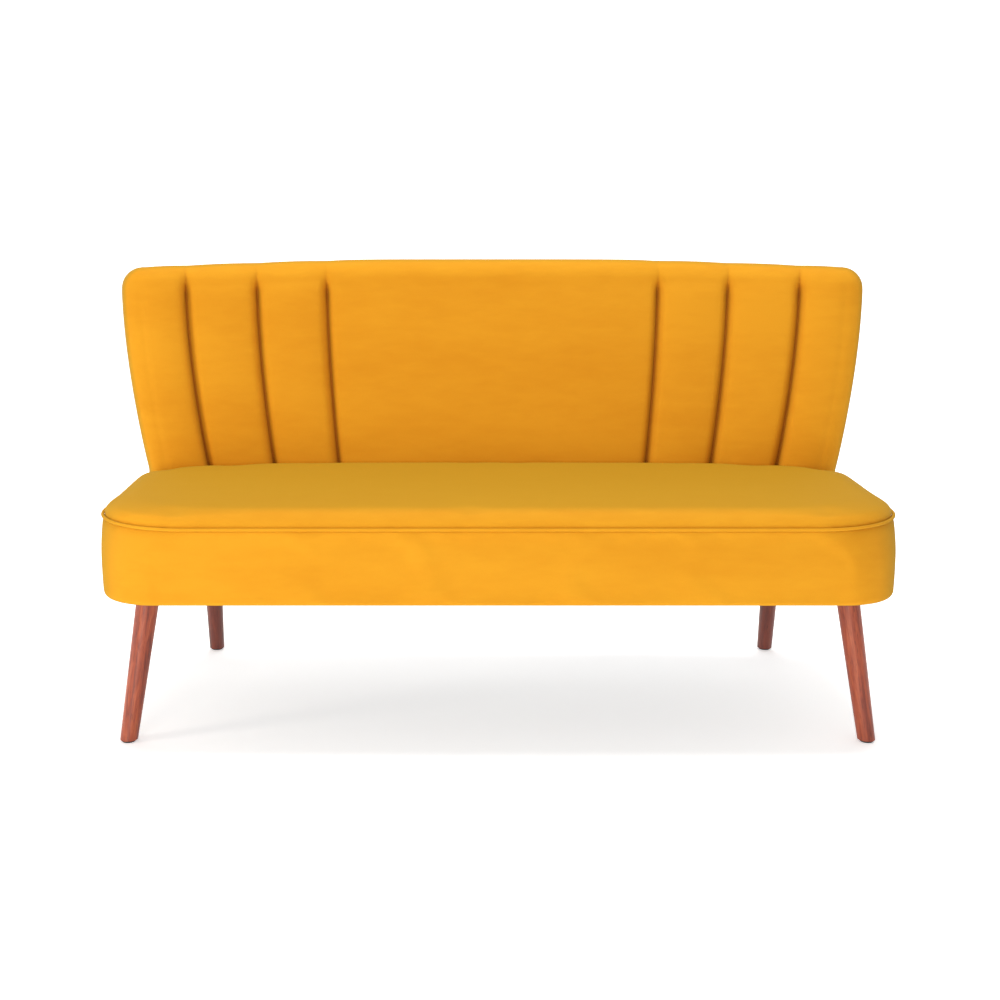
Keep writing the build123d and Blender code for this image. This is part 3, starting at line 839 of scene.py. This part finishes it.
def makeSeatCushion():
    r = seatPad["rounding"]
    rise = r - seatPad["roundingEase"]
    sideTop = seatPad["shoulder"] - rise
    loops = [(0.0, seatPad["base"]), (0.0, sideTop)]
    for a in quarterTurn(seatPad["roundingSteps"]):
        loops.append((r * (1 - math.cos(a)), sideTop + rise * math.sin(a)))
    verts = []
    for inset, level in loops:
        verts += [(x, y, level) for x, y in seatLoop(inset)]
    count = len(verts) // len(loops)
    faces = [tuple(range(count)), tuple(range(len(verts) - count, len(verts)))]
    for ring in range(len(loops) - 1):
        for k in range(count):
            a = ring * count + k
            b = ring * count + (k + 1) % count
            faces.append((a, b, b + count, a + count))
    piece = meshObject("seat_cushion", verts, faces)
    remesh = piece.modifiers.new("Remesh", "REMESH")
    remesh.mode = "VOXEL"
    remesh.voxel_size = seatPad["voxel"]
    applyModifiers(piece)
    relax(piece.data, 4, 0.5)
    coords = coordsOf(piece.data)
    rearY = boardY(seat["bottom"])
    midY = (seat["front"] + rearY) / 2 - 0.02
    reachY = (rearY - seat["front"]) / 2
    across = np.clip(1 - (np.abs(coords[:, 0]) / seat["halfWidth"][1]) ** 4, 0, 1)
    along = np.clip(1 - (np.abs(coords[:, 1] - midY) / reachY) ** 3, 0, 1)
    high = np.clip((coords[:, 2] - seatPad["base"]) / (seatPad["shoulder"] - seatPad["base"]), 0, 1)
    coords[:, 2] += (seat["crown"] - seatPad["shoulder"] - 0.003) * across * along * high
    piece.data.vertices.foreach_set("co", coords.ravel())
    held = (coords[:, 2] < seatPad["base"] + seatPad["heldHeight"]).astype(float)
    inflate(piece, held, seatPad["cloth"])
    relax(piece.data, 10, 0.5)
    piece.data.shade_smooth()
    subdivide(piece)
    piece.data.materials.clear()
    piece.data.materials.append(velvet)
    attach(piece, "root")
    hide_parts("seat_foam", "seat_top_cover", "insulator_felt")
    print("seat cushion", len(piece.data.polygons))


# Paths worked along by geometry nodes
def inputId(tree, name):
    for item in tree.interface.items_tree:
        if item.item_type == "SOCKET" and item.in_out == "INPUT" and item.name == name:
            return item.identifier
    raise KeyError(name)


def newTree(name, inputs):
    tree = bpy.data.node_groups.new(name, "GeometryNodeTree")
    tree.interface.new_socket("Geometry", in_out="INPUT", socket_type="NodeSocketGeometry")
    tree.interface.new_socket("Geometry", in_out="OUTPUT", socket_type="NodeSocketGeometry")
    for label, value in inputs.items():
        socket = tree.interface.new_socket(label, in_out="INPUT", socket_type="NodeSocketFloat")
        socket.default_value = value
    return tree, tree.nodes.new("NodeGroupInput"), tree.nodes.new("NodeGroupOutput")


def runTree(name, path, tree, values, closed=False):
    # Gives a tree a path of points to work along and returns the result as a plain mesh
    mesh = bpy.data.meshes.new(name)
    edges = [(k, k + 1) for k in range(len(path) - 1)]
    if closed:
        edges.append((len(path) - 1, 0))
    mesh.from_pydata([tuple(p) for p in path], edges, [])
    piece = bpy.data.objects.new(name, mesh)
    scene.collection.objects.link(piece)
    modifier = piece.modifiers.new("Nodes", "NODES")
    modifier.node_group = tree
    for label, value in values.items():
        modifier[inputId(tree, label)] = value
    applyModifiers(piece)
    piece.data.shade_smooth()
    return piece


def endTree(tree, result, shape, material):
    real = addNode(tree, "GeometryNodeRealizeInstances", {"Geometry": shape})
    painted = addNode(tree, "GeometryNodeSetMaterial", {
        "Geometry": real.outputs["Geometry"], "Material": material})
    tree.links.new(painted.outputs["Geometry"], result.inputs["Geometry"])
    return tree


def sweepTree(name, material):
    tree, source, result = newTree(name, {"Radius": 0.0025, "Step": 0.006})
    curve = addNode(tree, "GeometryNodeMeshToCurve", {"Mesh": source.outputs["Geometry"]})
    even = addNode(tree, "GeometryNodeResampleCurve", {
        "Curve": curve.outputs["Curve"], "Length": source.outputs["Step"]}, mode="LENGTH")
    ring = addNode(tree, "GeometryNodeCurvePrimitiveCircle", {
        "Radius": source.outputs["Radius"], "Resolution": 12})
    tube = addNode(tree, "GeometryNodeCurveToMesh", {
        "Curve": even.outputs["Curve"], "Profile Curve": ring.outputs["Curve"], "Fill Caps": True})
    return endTree(tree, result, tube.outputs["Mesh"], material)


piping = {"radius": 0.0029, "proud": 0.0004, "level": 0.3952, "step": 0.006}


def makePiping():
    path = [(x, y, piping["level"]) for x, y in seatOutline(seat["seam"], -piping["proud"])]
    piece = runTree("seat_piping_cord", path, sweepTree("piping", velvet),
                    {"Radius": piping["radius"], "Step": piping["step"]})
    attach(piece, "root")
    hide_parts("seat_piping")
    print("piping", len(piece.data.polygons))


# The outside-back panel
panel = {
    "bottom": seat["bottom"] + 0.0005,
    "top": 0.803,
    "cornerRadius": 0.052,
    "thickness": 0.0032,
    "edge": 0.010,  # how far in the panel starts to turn down to its seam
    "ripple": 0.0009,
    "hem": (0.014, 0.012),  # how high the lower edge starts to turn under, and how far it goes
    "columns": 150,
    "rows": 52,
}


def panelRun(level):
    # Half the flat part, the wing's radius and the whole half width, measured along the outside cover
    flat = flatHalf(level)
    radius = arcRadius(level, back["coverShift"])
    return flat, radius, flat + radius * back["wingAngle"]


def panelTop(u, half):
    # The rounded and drooping upper edge
    r = panel["cornerRadius"]
    fromEdge = half * (1 - abs(u))
    drop = 0 if fromEdge >= r else r - math.sqrt(max(0, r * r - (r - fromEdge) ** 2))
    reach = max(0, abs(u) * half - back["droopStart"]) / (half - back["droopStart"])
    return panel["top"] - drop - back["droop"] * reach ** back["droopPower"]


def makeOutsideBack():
    columns = panel["columns"]
    rows = panel["rows"]
    outer = np.zeros((rows + 1, columns + 1, 3))
    inner = np.zeros_like(outer)
    low = panel["bottom"]
    hemHeight, hemDepth = panel["hem"]
    for j in range(columns + 1):
        u = -1 + 2 * j / columns
        for i in range(rows + 1):
            v = i / rows
            top = panelTop(u, panelRun(mix((low, panel["top"]), v))[2])
            level = mix((low, top), v)
            flat, radius, half = panelRun(level)
            place = abs(u) * half
            near = min(half - place, level - low + 0.001, top - level)
            turn = min(1, near / panel["edge"])
            lift = panel["thickness"] * math.sqrt(max(0, 1 - (1 - turn) ** 2))
            wave = noise.noise(Vector((u * 4, level * 9, 3))) * panel["ripple"] * turn
            lift -= hemDepth * max(0, 1 - (level - low) / hemHeight) ** 2
            shift = back["coverShift"] - back["coverGap"] + lift + wave
            for grid, s in ((outer, shift), (inner, min(shift - 0.0012, back["coverShift"] - 0.002))):
                if place <= flat:
                    x, y = place, boardY(level) + s
                else:
                    x, y = backPoint(level, (place - flat) / radius, s)
                grid[i, j] = (math.copysign(x, u), y, level)
    piece = closedSheet("outside_back_panel", outer, inner)
    subdivide(piece)
    piece.data.materials.append(velvet)
    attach(piece, "root")
    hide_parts("back_outside_cover")
    print("outside back", len(piece.data.polygons))


# The dust cover under the seat and its staples
dust = {
    "inset": 0.0105,
    "rearInset": 0.0045,
    "corner": 0.100,
    "wingReach": 0.015,  # runs out under the wings
    "wingStart": (0.08, 0.14),  # y where it starts to run out and where it is fully out
    "thickness": 0.0006,
    "sag": 0.0035,
    "ripple": 0.0006,
    "legClear": 0.10,  # stays flat this near a leg plate
    "hem": 0.004,  # the real cover's hem width
    "staplePitch": 0.045,
    "stapleWidth": 0.010,
    "stapleTurn": 0.16,  # how far off line a staple may sit, in radians
    "wire": 0.0005,
    "columns": 110,
    "rows": 46,
}


def underLoop(u, v):
    # u runs across, v from front to rear, kept inside the rounded base
    w = seat["halfWidth"][0] - dust["inset"]
    r = dust["corner"]
    x = u * w
    y0 = seat["front"] + dust["inset"]
    over = max(0, abs(x) - (w - r))
    front = y0 + r - math.sqrt(max(0, r * r - over * over))
    rear = backY(seat["bottom"], x, back["coverShift"] - dust["rearInset"])
    y = front + (rear - front) * v
    start, end = dust["wingStart"]
    beside = clamp((y - start) / (end - start))
    return x + math.copysign(dust["wingReach"] * beside * abs(u) ** 8, u), y


def makeDustCover():
    columns, rows = dust["columns"], dust["rows"]
    outer = np.zeros((rows + 1, columns + 1, 3))
    inner = np.zeros_like(outer)
    for i in range(rows + 1):
        v = i / rows
        for j in range(columns + 1):
            s = -1 + 2 * j / columns
            u = math.sin(s * math.pi / 2) * 0.35 + s * 0.65
            x, y = underLoop(u, v)
            edge = min(1 - abs(u), v, 1 - v) * 12
            middle = min(1, edge)
            sag = dust["sag"] * middle * (0.5 + 0.5 * noise.noise(Vector((x * 5, y * 5, 1))))
            ripple = dust["ripple"] * noise.noise(Vector((x * 30, y * 30, 7)))
            z = seat["bottom"] - 0.0004 - ripple * middle
            nearLeg = min(abs(x - legX) + abs(y - legY) for legX, legY in legSpots)
            z -= sag if nearLeg > dust["legClear"] else 0
            outer[i, j] = (x, y, z)
            inner[i, j] = (x, y, z + dust["thickness"])
    piece = closedSheet("dust_cover_sheet", outer, inner)
    piece.data.materials.append(nonWoven)
    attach(piece, "root")
    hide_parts("dust_cover")
    print("dust cover", len(piece.data.polygons))


def stapleTree():
    tree, source, result = newTree("staples", {
        "Pitch": dust["staplePitch"], "Width": dust["stapleWidth"], "Wire": dust["wire"]})
    curve = addNode(tree, "GeometryNodeMeshToCurve", {"Mesh": source.outputs["Geometry"]})
    points = addNode(tree, "GeometryNodeCurveToPoints", {
        "Curve": curve.outputs["Curve"], "Length": source.outputs["Pitch"]}, mode="LENGTH")
    half = addNode(tree, "ShaderNodeMath", {0: source.outputs["Width"], 1: 0.5}, operation="MULTIPLY")
    minus = addNode(tree, "ShaderNodeMath", {0: half.outputs[0], 1: -1.0}, operation="MULTIPLY")
    start = addNode(tree, "ShaderNodeCombineXYZ", {"X": minus.outputs[0]})
    end = addNode(tree, "ShaderNodeCombineXYZ", {"X": half.outputs[0]})
    line = addNode(tree, "GeometryNodeCurvePrimitiveLine", {
        "Start": start.outputs[0], "End": end.outputs[0]})
    ring = addNode(tree, "GeometryNodeCurvePrimitiveCircle", {
        "Radius": source.outputs["Wire"], "Resolution": 6})
    crown = addNode(tree, "GeometryNodeCurveToMesh", {
        "Curve": line.outputs["Curve"], "Profile Curve": ring.outputs["Curve"], "Fill Caps": True})
    jitter = addNode(tree, "FunctionNodeRandomValue", {"Seed": 11}, data_type="FLOAT_VECTOR")
    jitter.inputs[0].default_value = (0, 0, -dust["stapleTurn"])
    jitter.inputs[1].default_value = (0, 0, dust["stapleTurn"])
    along = addNode(tree, "FunctionNodeAlignRotationToVector", {
        "Vector": points.outputs["Tangent"]}, axis="X")
    turned = addNode(tree, "FunctionNodeRotateRotation", {
        "Rotation": along.outputs[0], "Rotate By": jitter.outputs[0]}, rotation_space="LOCAL")
    placed = addNode(tree, "GeometryNodeInstanceOnPoints", {
        "Points": points.outputs["Points"], "Instance": crown.outputs["Mesh"],
        "Rotation": turned.outputs[0]})
    return endTree(tree, result, placed.outputs["Instances"], stapleSteel)


def makeStaples():
    level = seat["bottom"] - 0.0009
    across = [u / 40 for u in range(-37, 38)]
    alongSide = [v / 40 for v in range(2, 39)]
    path = [underLoop(u, 0.014) for u in across] + [underLoop(0.985, v) for v in alongSide]
    path += [underLoop(-u, 0.986) for u in across] + [underLoop(-0.985, 1 - v) for v in alongSide]
    piece = runTree("dust_cover_staples", [(x, y, level) for x, y in path], stapleTree(), {
        "Pitch": dust["staplePitch"], "Width": dust["stapleWidth"], "Wire": dust["wire"]}, True)
    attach(piece, "root")
    print("staples", len(piece.data.polygons))


legNames = ("front_left", "front_right", "rear_left", "rear_right")
legSpots = [tuple(middleOf("leg_plate_" + name))[:2] for name in legNames]

# Finishes of the pieces that keep their CAD shape
pineLook = {"dark": "#b58a55", "mid": "#cfa872", "pale": "#e0c08e", "grainWidth": 0.004, "grainLength": 0.3}
dowelLook = {"dark": "#b58862", "mid": "#caa27b", "pale": "#d8b592", "grainWidth": 0.002, "grainLength": 0.05}
slotMaterials = {
    "frame_pine": makeWood("planed pine", (1, 0, 0), pineLook, 0.7, 0),
    "dowel_beech": makeWood("raw beech dowel", (0, 0, 1), dowelLook, 0.7, 0),
    "fibreboard": makeMatt("hardboard", "#6b4a2c", "#7d5a38", 0.002),
    "foam": makeMatt("polyether foam", "#e2d9ad", "#efe8c6", 0.0015, 0.95, 0.0008),
    "felt": makeMatt("grey needle felt", "#5e5c58", "#76736e", 0.0012, 0.95),
    "spring_steel": makeMetal("oiled spring steel", "#77787a", 0.35, "#5c5b5a"),
    "zinc_steel": makeMetal("zinc-plated steel", "#c3c6c9", 0.32, "#a4a6a6"),
    "black_steel": makeMatt("black powder-coated steel", "#121212", "#1c1c1c", 0.0007, 0.5, 0.0001),
    "nylon": makeMatt("black nylon", "#151515", "#202020", 0.001, 0.55, 0.0001),
    "velvet": velvet,
    "black_non_woven": nonWoven,
}
for name in legNames:
    axis = middleOf("leg_plate_" + name) - middleOf("glide_" + name)
    # the rear legs take the wood copy with painted shade
    look = woodLook if name.startswith("front") else shadedRearWoodLook
    slotMaterials["leg_" + name] = makeWood("stained beech " + name.replace("_", " "), axis, look)


def dressFrame():
    slots = {item["node"]: item["material_slot"] for item in frame["record"]["subparts"]}
    for node, slot in slots.items():
        piece = bpy.data.objects.get(node)
        if piece is None:
            continue
        material = slotMaterials.get(node) or slotMaterials[slot]
        for place in piece.material_slots:
            place.material = material
        if not piece.material_slots:
            piece.data.materials.append(material)


dressFrame()
makeBackCushion()
makeBorder()
makeSeatCushion()
makePiping()
makeOutsideBack()
makeDustCover()
makeStaples()


# Floor, light and camera
stage = {"floor": "#ffffff", "glow": 0.45, "size": 14, "front": -9, "rear": 4.2, "height": 6, "bend": 1.2,
         "bendSteps": 12}


def makeStage():
    # A pale floor that curves up into a backdrop behind the seat
    bend = stage["bend"]
    start = stage["rear"] - bend
    profile = [(stage["front"], 0), (start, 0)]
    for a in quarterTurn(stage["bendSteps"]):
        profile.append((start + bend * math.sin(a), bend * (1 - math.cos(a))))
    profile.append((stage["rear"], stage["height"]))
    verts = []
    for x in (-stage["size"], stage["size"]):
        verts += [(x, y, z) for y, z in profile]
    count = len(profile)
    faces = [(k, k + count, k + count + 1, k + 1) for k in range(count - 1)]
    floor = meshObject("floor", verts, faces)
    material, tree, _ = newMaterial("matt white paint")  # its glow keeps it pure white
    shader = addNode(tree, "ShaderNodeBsdfPrincipled", {
        "Base Color": linear(stage["floor"]), "Roughness": 0.9, "Specular IOR Level": 0.2,
        "Emission Color": (1, 1, 1, 1), "Emission Strength": stage["glow"]})
    addNode(tree, "ShaderNodeOutputMaterial", {"Surface": shader.outputs["BSDF"]})
    floor.data.materials.append(material)


lights = {
    "key": {"place": (-1.2, -3.8, 0.5), "aim": (0, 0, 0.3), "size": 1.2, "power": 62, "color": "#fff8f0"},
    "side": {"place": (-3.6, -1.5, 1.0), "aim": (0, 0, 0.45), "size": 0.7, "power": 33, "color": "#fff6ec"},
    "top": {"place": (0, 0.2, 4.2), "aim": (0, 0, 0.4), "size": 2.0, "power": 135, "color": "#fbfdff"},
}
skyGlow = 0.5


def makeLights():
    for name, look in lights.items():
        data = bpy.data.lights.new(name, "AREA")
        data.size = look["size"]
        data.energy = look["power"]
        data.color = linear(look["color"])[:3]
        lamp = bpy.data.objects.new(name, data)
        lamp.location = look["place"]
        toward = Vector(look["aim"]) - Vector(look["place"])
        lamp.rotation_euler = toward.to_track_quat("-Z", "Y").to_euler()
        scene.collection.objects.link(lamp)
    world = bpy.data.worlds.new("studio")
    world.use_nodes = True
    tree = world.node_tree
    sky = tree.nodes["Background"]
    sky.inputs["Color"].default_value = (1, 1, 1, 1)
    # The sky is white to the eye but lights the room softly
    seen = addNode(tree, "ShaderNodeLightPath").outputs["Is Camera Ray"]
    strength = addNode(tree, "ShaderNodeMapRange", {"Value": seen, "To Min": skyGlow, "To Max": 1.0})
    tree.links.new(strength.outputs[0], sky.inputs["Strength"])
    scene.world = world


view = {"side": -0.065, "ahead": 2.067, "height": 0.855, "pitch": 0.1955, "lens": 46.8, "shift": 0.0395}


def makeCamera():
    data = bpy.data.cameras.new("camera")
    data.lens = view["lens"]
    data.shift_x = view["shift"]
    camera = bpy.data.objects.new("camera", data)
    camera.location = (view["side"], cadBox[0][1] - view["ahead"], view["height"])
    camera.rotation_euler = (math.pi / 2 - view["pitch"], 0, 0)
    scene.collection.objects.link(camera)
    scene.camera = camera


makeStage()
makeLights()
makeCamera()
print("stage ready")
